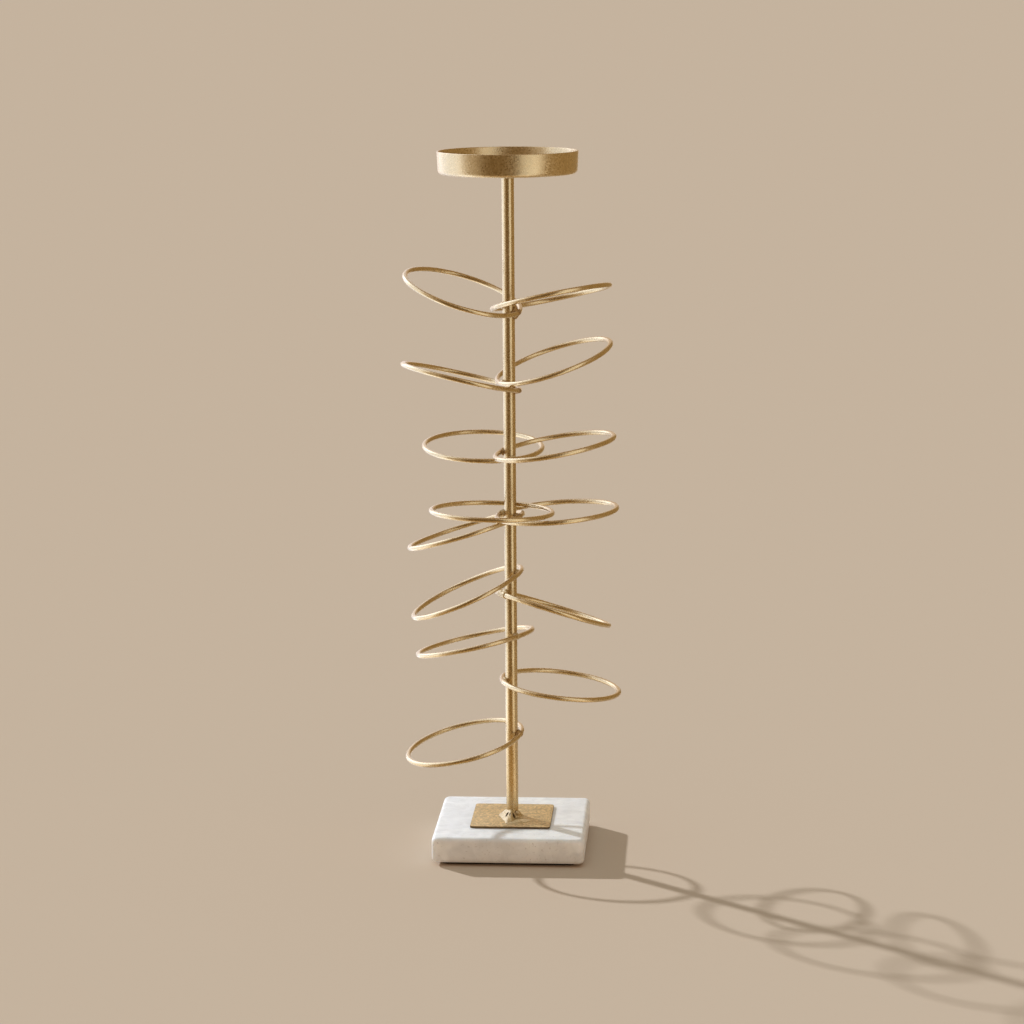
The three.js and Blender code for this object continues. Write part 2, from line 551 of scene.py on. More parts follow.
SANDED_BRASS = SatinBrass(
    "sanded_brass",
    pale=(0.645, 0.475, 0.24, 1),
    deep=(0.59, 0.42, 0.195, 1),
    # Near-black painted shade for the plate's sides and lower edges, laid on in full by the tint
    browned=(0.10, 0.06, 0.026, 1),
    tint=1.0,
    grain=1.3 * MM,
    grit=Relief(0.14 * MM, 0.4),
    speckle=0.75,
    smooth=0.5,
    rough=0.72,
    metal=0.4,
    lacquer=0.0,
)


@dataclass(frozen=True)
class WeldBrass:
    """Lumpy weld metal under the same finish, with small pits painted dark as shade."""

    name: str = "weld_brass"
    pale: Colour = (0.69, 0.575, 0.34, 1)
    deep: Colour = (0.52, 0.385, 0.19, 1)
    lump: float = 2.2 * MM
    lump_edge: Span = (0.35, 0.65)
    lump_relief: Relief = Relief(0.2 * MM, 0.35)
    smooth: float = 0.3
    rough: float = 0.5
    grain: float = 0.7 * MM
    grain_share: float = 0.7
    grain_shades: Span = (0.75, 1.2)
    grit: Relief = Relief(0.06 * MM, 0.3)
    # Near-black painted shade for the hollows of the pits
    pit: Colour = (0.07, 0.04, 0.016, 1)
    pit_spacing: float = 2.6 * MM
    pit_edge: Span = (0.06, 0.16)
    pit_relief: Relief = Relief(0.3 * MM, 0.5)
    metal: float = 0.5

    def material(self) -> Material:
        """Mixes the weld metal.

        Returns:
            The material.
        """
        mix = Mixture(self.name)
        lumps = mix.noise(self.lump, detail=4)
        grain = mix.cells(self.grain)
        metal = mix.ramp(lumps, self.lump_edge, self.deep, self.pale)
        shade = mix.remap(grain.outputs["Color"], self.grain_shades)
        metal = mix.blend(self.grain_share, metal, shade, "MULTIPLY")
        # The pits, and the points marked as lying in a pit, get painted shade in their hollows
        holes = mix.remap(mix.cells(self.pit_spacing).outputs["Distance"], (1, 0), self.pit_edge)
        metal = mix.blend(holes, metal, self.pit)
        mix.drive("Base Color", mix.blend(mix.attribute(HEAT_AND_SHADE), metal, self.pit))
        mix.drive("Roughness", mix.remap(lumps, (self.rough, self.smooth)))
        ripple = mix.bump(lumps, self.lump_relief)
        hollow = mix.bump(mix.remap(holes, (1, 0)), self.pit_relief, below=ripple)
        mix.drive("Normal", mix.bump(grain.outputs["Distance"], self.grit, below=hollow))
        mix.fix(Metallic=self.metal)
        return mix.material


# Browner, rougher weld for some tacks: partly heat tint, partly painted shade where the tack sits shadowed
# against the stem
HEAT_TINT_AND_SHADE_WELD = WeldBrass(
    "heat_tinted_shaded_weld",
    pale=(0.50, 0.34, 0.145, 1),
    deep=(0.33, 0.20, 0.075, 1),
    smooth=0.42,
    rough=0.6,
)


@dataclass(frozen=True)
class HonedMarble:
    """White marble with soft cool clouds, faint smudged veins and a few specks, honed to a soft sheen."""

    name: str = "honed_marble"
    white: Colour = (0.875, 0.90, 0.905, 1)
    milky: Colour = (0.80, 0.825, 0.845, 1)
    drift: float = 30 * MM
    drift_edge: Span = (0.38, 0.6)
    vein: Colour = (0.60, 0.62, 0.655, 1)
    vein_size: float = 34 * MM
    vein_slant: Point = (1.0, 2.1, 0.8)
    vein_core: float = 0.5
    vein_width: float = 0.07
    vein_share: float = 0.4
    vein_patches: Span = (0.44, 0.66)
    mottle: float = 9 * MM
    mottle_edge: Span = (0.32, 0.62)
    mottle_shades: Span = (0.91, 1.045)
    fleck: Colour = (0.47, 0.46, 0.46, 1)
    fleck_size: float = 1.6 * MM
    fleck_edge: Span = (0.64, 0.76)
    fleck_share: float = 0.5
    fleck_patches: Span = (0.42, 0.54)
    crystal: float = 1.1 * MM
    crystal_relief: Relief = Relief(0.02 * MM, 0.2)
    crystal_rough: Span = (0.28, 0.46)
    glow: float = 0.35
    glow_depth: float = 4 * MM
    glow_tint: Point = (1.0, 0.9, 0.8)
    ior: float = 1.49

    def material(self) -> Material:
        """Mixes the marble.

        Returns:
            The material.
        """
        mix = Mixture(self.name)
        slanted = mix.stretched(self.vein_slant)
        drift = mix.noise(self.drift, detail=7, twist=0.8)
        stone = mix.ramp(drift, self.drift_edge, self.milky, self.white)
        veins = mix.noise(self.vein_size, detail=8, twist=1.2, place=slanted)
        off_vein = mix.combine("ABSOLUTE", mix.combine("SUBTRACT", veins, self.vein_core), 0)
        smudge = mix.remap(off_vein, (self.vein_share, 0), (0, self.vein_width))
        veiled = mix.combine("MULTIPLY", smudge, mix.remap(drift, (0, 1), self.vein_patches))
        stone = mix.blend(veiled, stone, self.vein)
        mottle = mix.noise(self.mottle, detail=6, twist=0.6)
        shade = mix.remap(mottle, self.mottle_shades, self.mottle_edge)
        stone = mix.blend(1.0, stone, shade, "MULTIPLY")
        dots = mix.remap(mix.noise(self.fleck_size, detail=1), (0, self.fleck_share), self.fleck_edge)
        sparse = mix.combine("MULTIPLY", dots, mix.remap(veins, (0, 1), self.fleck_patches))
        mix.drive("Base Color", mix.blend(sparse, stone, self.fleck))
        crystal = mix.noise(self.crystal, detail=3)
        mix.drive("Roughness", mix.remap(crystal, self.crystal_rough))
        mix.drive("Normal", mix.bump(crystal, self.crystal_relief))
        mix.fix(
            Subsurface_Weight=self.glow,
            Subsurface_Scale=self.glow_depth,
            Subsurface_Radius=self.glow_tint,
            IOR=self.ior,
        )
        return mix.material


@dataclass(frozen=True)
class DarkFelt:
    """Thin pressed felt, nearly black, with loose fibres."""

    name: str = "dark_felt"
    dark: Colour = (0.010, 0.009, 0.008, 1)
    fibre: Colour = (0.035, 0.031, 0.028, 1)
    fibre_size: float = 0.5 * MM
    fibre_edge: Span = (0.35, 0.75)
    fibre_relief: Relief = Relief(0.2 * MM, 0.7)
    rough: Span = (0.85, 1.0)
    sheen: float = 0.05
    sheen_rough: float = 0.6

    def material(self) -> Material:
        """Mixes the felt.

        Returns:
            The material.
        """
        mix = Mixture(self.name)
        fibres = mix.noise(self.fibre_size, detail=6, twist=2.5)
        mix.drive("Base Color", mix.ramp(fibres, self.fibre_edge, self.dark, self.fibre))
        mix.drive("Roughness", mix.remap(fibres, self.rough))
        mix.drive("Normal", mix.bump(fibres, self.fibre_relief))
        mix.fix(Sheen_Weight=self.sheen, Sheen_Roughness=self.sheen_rough)
        return mix.material


@dataclass(frozen=True)
class ZincSteel:
    """Zinc-plated steel of the hidden screw and washer."""

    name: str = "zinc_steel"
    bright: Colour = (0.62, 0.63, 0.64, 1)
    bright_share: float = 0.6
    dull: Colour = (0.46, 0.46, 0.45, 1)
    stain: float = 3 * MM
    stain_edge: Span = (0.3, 0.7)
    stain_relief: Relief = Relief(0.03 * MM, 0.2)
    stain_rough: Span = (0.28, 0.48)
    spangle: float = 1.4 * MM
    spangle_share: float = 0.5

    def material(self) -> Material:
        """Mixes the steel.

        Returns:
            The material.
        """
        mix = Mixture(self.name)
        spangle = mix.cells(self.spangle)
        stain = mix.noise(self.stain, detail=4)
        stained = mix.ramp(stain, self.stain_edge, self.dull, self.bright)
        plating = mix.blend(self.spangle_share, stained, spangle.outputs["Color"], "SOFT_LIGHT")
        mix.drive("Base Color", mix.blend(self.bright_share, plating, self.bright))
        mix.drive("Roughness", mix.remap(stain, self.stain_rough))
        mix.drive("Normal", mix.bump(stain, self.stain_relief))
        mix.fix(Metallic=1.0)
        return mix.material


@dataclass(frozen=True)
class RingSeat:
    """Where one wire ring lies, read from the frame."""

    # Places round a ring among which the one nearest to the stem is sought
    PLACES = 1440

    number: int
    middle: Vector
    axis: Vector
    radius: float
    wire: float
    touch: Vector

    @classmethod
    def read(cls, number: int) -> "RingSeat":
        """Reads a ring's place from its node in the frame.

        Args:
            number: The ring's number, counted up the stem.

        Returns:
            The ring's place.
        """
        corners = points_of(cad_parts[f"ring_{number:02d}"])
        points = np.unique(np.round(corners, decimals=6), axis=0)
        middle = points.mean(0)
        across, along, axis = np.linalg.svd(points - middle)[2]
        reach = np.linalg.norm(points - middle, axis=1)
        radius = (reach.max() + reach.min()) / 2
        wire = np.ptp(reach) / 2
        angles = np.linspace(0, 2 * np.pi, cls.PLACES, endpoint=False)[:, None]
        line = middle + radius * (np.cos(angles) * across + np.sin(angles) * along)
        touch = line[np.hypot(line[:, 0], line[:, 1]).argmin()]
        if axis[2] < 0:
            axis = -axis
        return cls(number, Vector(middle), Vector(axis), float(radius), float(wire), Vector(touch))

    @property
    def turn(self) -> Euler:
        """The turn that brings an upright axis onto the ring's own."""
        return self.axis.to_track_quat("Z", "Y").to_euler()

    @property
    def outward(self) -> Vector:
        """The level direction from the stem's axis to the spot where the ring is welded."""
        return Vector((self.touch.x, self.touch.y, 0)).normalized()


def mark_heat_and_shade(piece: Piece, marks: np.ndarray) -> None:
    """Stores a mark from 0 to 1 on each point: heat browning near a weld, painted shade on the plate's
    sides, or painted shade in a weld pit.
    """
    layer = piece.data.attributes.new(HEAT_AND_SHADE, "FLOAT", "POINT")
    layer.data.foreach_set("value", marks.astype(np.float32))


def heat_from(piece: Piece, welds: Sequence[Vector], reach: float) -> None:
    """Marks how near each point of a piece is to a weld.

    Args:
        piece: The piece to mark.
        welds: The welded spots.
        reach: How far the heat of a weld reaches.
    """
    spots = np.array([tuple(weld) for weld in welds])
    nearest = np.linalg.norm(points_of(piece)[:, None] - spots[None], axis=2).min(1)
    mark_heat_and_shade(piece, np.exp(-((nearest / reach) ** 2)))


@dataclass
class MarbleFoot:
    """Marble slab with its felt pad and the screw that holds the metal on it."""

    marble: Material
    felt: Material
    steel: Material
    corner: float = 4.5 * MM
    edge: float = 3 * MM
    bore: float = 3 * MM
    counterbore: float = 7 * MM
    pad_corner: float = 4.5 * MM
    pad_cuts: int = 3
    fur: float = 1.5 * MM
    fur_depth: float = 0.25 * MM

    def slab(self) -> None:
        """Models the marble slab with soft edges and the counterbored hole under it."""
        low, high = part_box("marble_base")
        slab = block("marble_slab", "marble_base", self.corner, WIDE_ROUND)
        round_edges(slab, lying_at(low.z, high.z), self.edge, ROUND)
        drill(slab, self.bore, low.z - OVERRUN, high.z + OVERRUN)
        drill(slab, self.counterbore, low.z - OVERRUN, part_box("flat_washer")[1].z)
        settle(slab, self.marble, Slot.MARBLE, "marble_base")

    def pad(self) -> None:
        """Models the felt pad with a slightly furry outline."""
        pad = block("felt_pad_cut", "felt_pad", self.pad_corner, WIDE_ROUND)
        with editing(pad):
            bpy.ops.mesh.select_all(action="SELECT")
            bpy.ops.mesh.quads_convert_to_tris()
            bpy.ops.mesh.subdivide(number_cuts=self.pad_cuts)
        fur = unevenness("felt_fur", self.fur)
        modify(pad, "DISPLACE", texture=fur, strength=self.fur_depth, mid_level=1.0)
        settle(pad, self.felt, Slot.FELT, "felt_pad")

    def fixing(self) -> None:
        """Dresses the screw and the washer, which keep the frame's own shapes."""
        for node in ("fixing_screw", "flat_washer"):
            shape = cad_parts[node]
            shape.data.materials.clear()
            shape.data.materials.append(self.steel)
            log.info("%s: dressed in %s", node, self.steel.name)

    def build(self) -> None:
        """Models and dresses the whole foot."""
        self.slab()
        self.pad()
        self.fixing()


@dataclass(frozen=True)
class Melt:
    """How joined lumps of weld metal melt into one bead: its grid, smoothing rounds and unevenness."""

    grid: float
    rounds: int
    swelling: float
    lump: float = 2.4 * MM

    def apply(self, weld: Piece) -> None:
        """Melts the lumps into one uneven bead.

        Args:
            weld: The joined lumps.
        """
        modify(weld, "REMESH", mode="VOXEL", voxel_size=self.grid)
        modify(weld, "SMOOTH", factor=0.6, iterations=self.rounds)
        lumps = unevenness("weld_lumps", self.lump)
        modify(weld, "DISPLACE", texture=lumps, strength=self.swelling, mid_level=0.5)
        modify(weld, "SMOOTH", factor=0.5, iterations=2)


@dataclass(frozen=True)
class Lump:
    """A lump of weld metal, or a pit in it: its bearing, place and half sizes, and how far it is askew."""

    # How far outside a lump, in shares of its size, its mark fades out
    FADE = 0.5

    # In degrees from the right, turning towards the back
    bearing: float
    reach: float
    level: float
    long: float
    wide: float
    tall: float
    skew: float = 0.0

    @property
    def spin(self) -> float:
        """The turn of the lump's long side round the upright, in radians."""
        return math.radians(self.bearing + self.skew)

    def middle(self, ground: float) -> Point:
        """The lump's middle, with its level counted from the ground's."""
        turn = math.radians(self.bearing)
        return (math.cos(turn) * self.reach, math.sin(turn) * self.reach, ground + self.level)

    def shape(self, name: str, ground: float) -> Piece:
        """Makes the lump as a rounded blob.

        Args:
            name: The blob's name.
            ground: The level that the lump's own level counts from.

        Returns:
            The blob.
        """
        bpy.ops.mesh.primitive_ico_sphere_add(
            subdivisions=3,
            radius=1,
            location=self.middle(ground),
            rotation=(0, 0, self.spin),
            scale=(self.long, self.wide, self.tall),
        )
        return take(name)

    def nearness(self, points: np.ndarray, ground: float) -> np.ndarray:
        """How deep points lie in the lump.

        Args:
            points: The points, one a row.
            ground: The level that the lump's own level counts from.

        Returns:
            For each point 1 in the lump, falling to 0 where its mark has faded out.
        """
        right, back, up = (points - self.middle(ground)).T
        out = right * math.cos(self.spin) + back * math.sin(self.spin)
        side = back * math.cos(self.spin) - right * math.sin(self.spin)
        depth = np.sqrt((out / self.long) ** 2 + (side / self.wide) ** 2 + (up / self.tall) ** 2)
        return np.clip((1 + self.FADE - depth) / self.FADE, 0, 1)


@dataclass(frozen=True)
class Flank:
    """A sloping side of a weld: its foot's bearing, reach, half sizes and skew, and its height and lean."""

    # In degrees from the right, turning towards the back
    bearing: float
    reach: float
    long: float
    wide: float
    tall: float
    skew: float = 0.0
    lean: float = 1.5 * MM
    sides: int = 64

    def shape(self, name: str, ground: float) -> Piece:
        """Makes the flank as a cone on an oval foot whose tip leans into the stem.

        Args:
            name: The cone's name.
            ground: The level that it stands on.

        Returns:
            The cone.
        """
        turn = math.radians(self.bearing)
        out = Vector((math.cos(turn), math.sin(turn), 0))
        bpy.ops.mesh.primitive_cone_add(
            vertices=self.sides,
            radius1=1,
            radius2=0,
            depth=self.tall,
            location=out * self.reach + Vector((0, 0, ground + self.tall / 2)),
            rotation=(0, 0, turn + math.radians(self.skew)),
            scale=(self.long, self.wide, 1),
        )
        cone = take(name)
        with editing(cone):
            choose(cone, Pick.POINT, lambda v: v.co.z > ground + self.tall / 2)
            bpy.ops.transform.translate(value=out * (self.lean - self.reach))
        return cone


@dataclass
class StemColumn:
    """Base plate and stem with the weld between them."""

    brass: Material
    sanded: Material
    weld: Material
    seats: Sequence[RingSeat]
    sides: int = 64
    cuts: int = 90
    plate_corner: float = 2.5 * MM
    plate_edge: float = 0.3 * MM
    plate_under: float = 0.25 * MM
    bore: float = 2.3 * MM
    tapped: float = 13 * MM
    heat_reach: float = 5 * MM
    melt: Melt = Melt(grid=0.25 * MM, rounds=10, swelling=0.3 * MM)
    pit_grid: float = 0.2 * MM
    # Bearing, reach, half length, half width and height of each
    flanks: tuple[Flank, ...] = (
        Flank(190, 3.0 * MM, 6.2 * MM, 7.0 * MM, 6.4 * MM),
        Flank(250, 9.0 * MM, 12.2 * MM, 3.6 * MM, 6.2 * MM, skew=36),
        Flank(264, 8.6 * MM, 12.6 * MM, 3.2 * MM, 5.4 * MM),
        Flank(338, 2.0 * MM, 5.6 * MM, 5.6 * MM, 5.6 * MM),
        Flank(80, 1.6 * MM, 6.2 * MM, 6.2 * MM, 5.8 * MM),
    )
    # Bearing, reach, level, half length, half width and half height of each
    lumps: tuple[Lump, ...] = (
        Lump(290, 16.2 * MM, 0.0, 8.4 * MM, 4.8 * MM, 0.9 * MM, skew=98),
        Lump(320, 5.2 * MM, 2.4 * MM, 1.9 * MM, 1.9 * MM, 1.8 * MM),
    )
    pits: tuple[Lump, ...] = (
        Lump(249, 8.5 * MM, 2.9 * MM, 2.0 * MM, 0.65 * MM, 1.8 * MM),
        Lump(264, 9.2 * MM, 2.8 * MM, 1.6 * MM, 0.3 * MM, 1.5 * MM),
        Lump(284, 8.0 * MM, 2.2 * MM, 2.2 * MM, 1.1 * MM, 1.6 * MM),
    )

    def plate(self) -> None:
        """Models the square base plate, with its sides and lower edges painted dark as shade."""
        low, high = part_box("base_plate")
        plate = block("foot_plate", "base_plate", self.plate_corner, ROUND)
        round_edges(plate, lying_at(high.z), self.plate_edge, NARROW_ROUND)
        round_edges(plate, lying_at(low.z), self.plate_under, NARROW_ROUND)
        drill(plate, self.bore, low.z - OVERRUN, high.z + OVERRUN)
        # The plate's sides and lower edges are marked for painted shade: the shaded side faces and the
        # crease on the marble
        depths = high.z - points_of(plate)[:, 2]
        mark_heat_and_shade(plate, np.clip(depths / self.plate_edge, 0, 1))
        settle(plate, self.sanded, Slot.BRASS, "base_plate")

    def stem(self) -> None:
        """Models the round stem with its tapped lower end."""
        low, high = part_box("stem")
        radius = stem_radius()
        bpy.ops.mesh.primitive_cylinder_add(
            vertices=self.sides, radius=radius, depth=high.z - low.z, location=(0, 0, (low.z + high.z) / 2)
        )
        stem = take("stem_rod")
        with editing(stem):
            choose(stem, Pick.FACE, lambda f: f.normal.z < -FACING)
            bpy.ops.mesh.inset(thickness=radius - self.bore)
            bpy.ops.mesh.extrude_region_move(TRANSFORM_OT_translate={"value": (0, 0, self.tapped)})
            for cuts in (1, self.cuts):
                choose(stem, Pick.EDGE, rising(2 * self.tapped))
                bpy.ops.mesh.subdivide(number_cuts=cuts)
        welds = [seat.outward * radius + Vector((0, 0, seat.touch.z)) for seat in self.seats]
        heat_from(stem, welds, self.heat_reach)
        settle(stem, self.brass, Slot.BRASS, "stem")

    def foot_weld(self) -> None:
        """Models the weld round the stem's foot: uneven flanks with a lump, a run-out and a few pits."""
        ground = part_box("foot_weld")[0].z
        shapes = [flank.shape("weld_flank", ground) for flank in self.flanks]
        shapes += [lump.shape("weld_lump", ground) for lump in self.lumps]
        weld = fuse("stem_foot_weld", *shapes)
        self.melt.apply(weld)
        for pit in self.pits:
            cut(weld, pit.shape("weld_pit", ground))
        modify(weld, "REMESH", mode="VOXEL", voxel_size=self.pit_grid)
        modify(weld, "SMOOTH", factor=0.5, iterations=2)
        trim(weld, ground, above=False)
        # Points in the pits are marked for painted shade in their hollows
        points = points_of(weld)
        mark_heat_and_shade(weld, np.max([pit.nearness(points, ground) for pit in self.pits], axis=0))
        settle(weld, self.weld, Slot.WELD, "foot_weld", sharp=60)

    def build(self) -> None:
        """Models and dresses the column."""
        self.plate()
        self.stem()
        self.foot_weld()


@dataclass(frozen=True)
class Tack:
    """A tack weld: its bead's half sizes, how far it runs along the wire and swells it, and whether it
    takes the browner weld, which is partly heat tint and partly painted shade.
    """

    wide: float = 2.7 * MM
    tall: float = 2.4 * MM
    thick: float = 1.9 * MM
    along: float = 0.0
    swell: float = 1.1
    # Whether the bead takes the browner weld: partly heat tint, partly painted shade
    browned: bool = False


# Tacks that run along their wire, by the number of the ring
HEAVY_TACKS = {
    1: Tack(wide=2.8 * MM, tall=2.6 * MM, along=3.2 * MM, browned=True),
    3: Tack(wide=2.4 * MM, tall=2.4 * MM, along=2.6 * MM),
    4: Tack(wide=3.2 * MM, tall=3.4 * MM, along=5.6 * MM, swell=1.4),
    6: Tack(wide=2.8 * MM, tall=2.6 * MM, along=3.4 * MM, browned=True),
    7: Tack(wide=2.8 * MM, tall=2.4 * MM, along=5.2 * MM, swell=1.25),
    10: Tack(wide=2.8 * MM, tall=2.8 * MM, along=2.6 * MM, browned=True),
    11: Tack(wide=2.8 * MM, tall=2.2 * MM, along=4.2 * MM, browned=True),
    13: Tack(wide=3.2 * MM, tall=4.2 * MM, thick=2.2 * MM, along=4.8 * MM, browned=True),
}


@dataclass
class WireRing:
    """One wire ring, threaded over the stem and tack-welded to it."""

    seat: RingSeat
    brass: Material
    weld: Material
    tack: Tack
    around: int = 192
    across: int = 24
    bend: float = 0.35 * MM
    bend_length: float = 30 * MM
    bead_out: float = 0.4 * MM
    melt: Melt = Melt(grid=0.22 * MM, rounds=6, swelling=0.8 * MM)
    heat_reach: float = 3.5 * MM

    def wire(self, name: str, thickness: float) -> Piece:
        """A closed ring of wire in the ring's place.

        Args:
            name: The object's name.
            thickness: The wire's radius.

        Returns:
            The ring.
        """
        bpy.ops.mesh.primitive_torus_add(
            location=self.seat.middle,
            rotation=self.seat.turn,
            major_segments=self.around,
            minor_segments=self.across,
            major_radius=self.seat.radius,
            minor_radius=thickness,
        )
        ring = take(name)
        modify(
            ring,
            "DISPLACE",
            texture=unevenness("hand_bend", self.bend_length, coloured=True),
            direction="RGB_TO_XYZ",
            strength=self.bend,
            mid_level=0.5,
        )
        return ring

    def ring(self) -> None:
        """Models the ring with the slight unevenness of wire bent by hand."""
        ring = self.wire(f"wire_ring_{self.seat.number:02d}", self.seat.wire)
        heat_from(ring, [self.seat.touch], self.heat_reach)
        settle(ring, self.brass, Slot.BRASS, f"ring_{self.seat.number:02d}")

    def bead(self) -> None:
        """Models the weld bead between the ring and the stem."""
        out = self.seat.outward
        spot = out * (stem_radius() + self.bead_out) + Vector((0, 0, self.seat.touch.z))
        bpy.ops.mesh.primitive_ico_sphere_add(
            subdivisions=4,
            radius=1,
            location=spot,
            rotation=(0, 0, math.atan2(out.y, out.x)),
            scale=(self.tack.thick, self.tack.wide, self.tack.tall),
        )
        lumps = [take("bead_blob")]
        if self.tack.along:
            sleeve = self.wire("bead_sleeve", self.seat.wire * self.tack.swell)
            with editing(sleeve):
                touch, along = self.seat.touch, self.tack.along
                choose(sleeve, Pick.POINT, lambda v: (v.co - touch).length > along)
                bpy.ops.mesh.delete(type="VERT")
                bpy.ops.mesh.select_all(action="SELECT")
                bpy.ops.mesh.fill_holes(sides=0)
            lumps.append(sleeve)
        bead = fuse(f"ring_bead_{self.seat.number:02d}", *lumps)
        self.melt.apply(bead)
        settle(bead, self.weld, Slot.WELD, f"ring_{self.seat.number:02d}_weld", sharp=70)

    def build(self) -> None:
        """Models and dresses the ring and its bead."""
        self.ring()
        self.bead()


@dataclass
class CandleDish:
    """Shallow dish for the candle, with the weld under it."""

    brass: Material
    weld: Material
    sides: int = 192
    wall: float = 1 * MM
    flare: float = 0.7 * MM
    outer_round: float = 2.5 * MM
    inner_round: float = 1.5 * MM
    rim_round: float = 0.42 * MM
    weld_sides: int = 48
    weld_foot: float = 0.3 * MM
    melt: Melt = Melt(grid=0.3 * MM, rounds=3, swelling=0.6 * MM)

    def dish(self) -> None:
        """Models the dish: a disc, hollowed by an inset and an extrusion, with its edges rounded."""
        low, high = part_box("candle_dish")
        radius = (high.x - low.x) / 2
        foot = radius - self.flare
        bpy.ops.mesh.primitive_cone_add(
            vertices=self.sides,
            radius1=foot,
            radius2=radius,
            depth=high.z - low.z,
            location=(0, 0, (low.z + high.z) / 2),
        )
        dish = take("spun_dish")
        floor = low.z + self.wall
        taper = (foot - self.wall) / (radius - self.wall)
        with editing(dish):
            choose(dish, Pick.FACE, lambda f: f.normal.z > FACING)
            bpy.ops.mesh.inset(thickness=self.wall)
            bpy.ops.mesh.extrude_region_move(TRANSFORM_OT_translate={"value": (0, 0, floor - high.z)})
            bpy.ops.transform.resize(value=(taper, taper, 1), center_override=(0, 0, floor))
        round_edges(dish, lying_at(high.z), self.rim_round, NARROW_ROUND)
        round_edges(dish, lying_at(floor), self.inner_round, ROUND)
        round_edges(dish, lying_at(low.z), self.outer_round, WIDE_ROUND)
        settle(dish, self.brass, Slot.BRASS, "candle_dish")

    def under_weld(self) -> None:
        """Models the fillet between the dish and the stem."""
        low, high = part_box("dish_weld")
        bpy.ops.mesh.primitive_cone_add(
            vertices=self.weld_sides,
            radius1=stem_radius() + self.weld_foot,
            radius2=(high.x - low.x) / 2,
            depth=high.z - low.z,
            location=(0, 0, (low.z + high.z) / 2),
        )
        weld = take("dish_fillet")
        self.melt.apply(weld)
        trim(weld, high.z, above=True)
        settle(weld, self.weld, Slot.WELD, "dish_weld", sharp=60)

    def build(self) -> None:
        """Models and dresses the dish."""
        self.dish()
        self.under_weld()


@dataclass(frozen=True)
class Softbox:
    """A soft card round the part, a lamp or a glowing sheet, which only reflections see."""

    # How high a lying card's middle is over the floor, and how thick a glowing sheet is
    LIFT = 2 * MM
    THICK = 1 * MM

    name: str
    # In degrees from the front, turning towards the right
    bearing: float
    distance: float
    width: float
    height: float
    brightness: float
    colour: Point
    lying: bool = False

    @property
    def away(self) -> Vector:
        """The level direction from the stem to the card."""
        bearing = math.radians(self.bearing)
        return Vector((math.sin(bearing), -math.cos(bearing), 0))

    @property
    def place(self) -> Vector:
        """The card's middle, standing or lying on the floor."""
        return self.away * self.distance + Vector((0, 0, self.LIFT if self.lying else self.height / 2))

    @property
    def turn(self) -> Euler:
        """The turn that makes the card face the stem, or face up where it lies.

        Returns:
            The turn.
        """
        if self.lying:
            return Euler((math.pi, 0, math.radians(self.bearing)))
        return self.away.to_track_quat("Z", "Y").to_euler()

    def stand(self) -> None:
        """Puts the card up as a lamp."""
        data = bpy.data.lights.new(self.name, "AREA")
        data.shape = "RECTANGLE"
        data.size = self.width
        data.size_y = self.height
        data.energy = self.brightness * math.pi * self.width * self.height
        data.color = self.colour
        card = bpy.data.objects.new(self.name, data)
        card.location = self.place
        card.rotation_euler = self.turn
        card.visible_camera = False
        card.visible_diffuse = False
        bpy.context.scene.collection.objects.link(card)

    def hang(self) -> None:
        """Hangs a glowing sheet in the card's place, which hides the light behind it from reflections and
        paints a dim coloured reflection.
        """
        bpy.ops.mesh.primitive_cube_add(
            size=1, location=self.place, rotation=self.turn, scale=(self.width, self.height, self.THICK)
        )
        glowing_sheet = take(self.name)
        mix = Mixture(self.name)
        mix.fix(
            Base_Color=(0, 0, 0, 1),
            Specular_IOR_Level=0.0,
            Emission_Color=(*self.colour, 1),
            Emission_Strength=self.brightness,
        )
        glowing_sheet.data.materials.append(mix.material)
        glowing_sheet.visible_camera = False
        glowing_sheet.visible_diffuse = False
        glowing_sheet.visible_shadow = False


@dataclass(frozen=True)
class FarLamp:
    """A lamp so far away that its light is even, on matt surfaces, on glossy ones or on both."""

    name: str
    source: Point
    power: float
    softness: float
    colour: Point
    on_matt: bool = True
    on_gloss: bool = False

    def hang(self) -> None:
        """Hangs the lamp in the direction of its source, as wide as its softness in degrees."""
        data = bpy.data.lights.new(self.name, "SUN")
        data.energy = self.power
        data.angle = math.radians(self.softness)
        data.color = self.colour
        lamp = bpy.data.objects.new(self.name, data)
        lamp.rotation_euler = Vector(self.source).to_track_quat("Z", "Y").to_euler()
        lamp.visible_diffuse = self.on_matt
        lamp.visible_glossy = self.on_gloss
        bpy.context.scene.collection.objects.link(lamp)


# The main light comes from the left, behind and above
MAIN_LIGHT: Point = (-0.688, 0.567, 0.454)


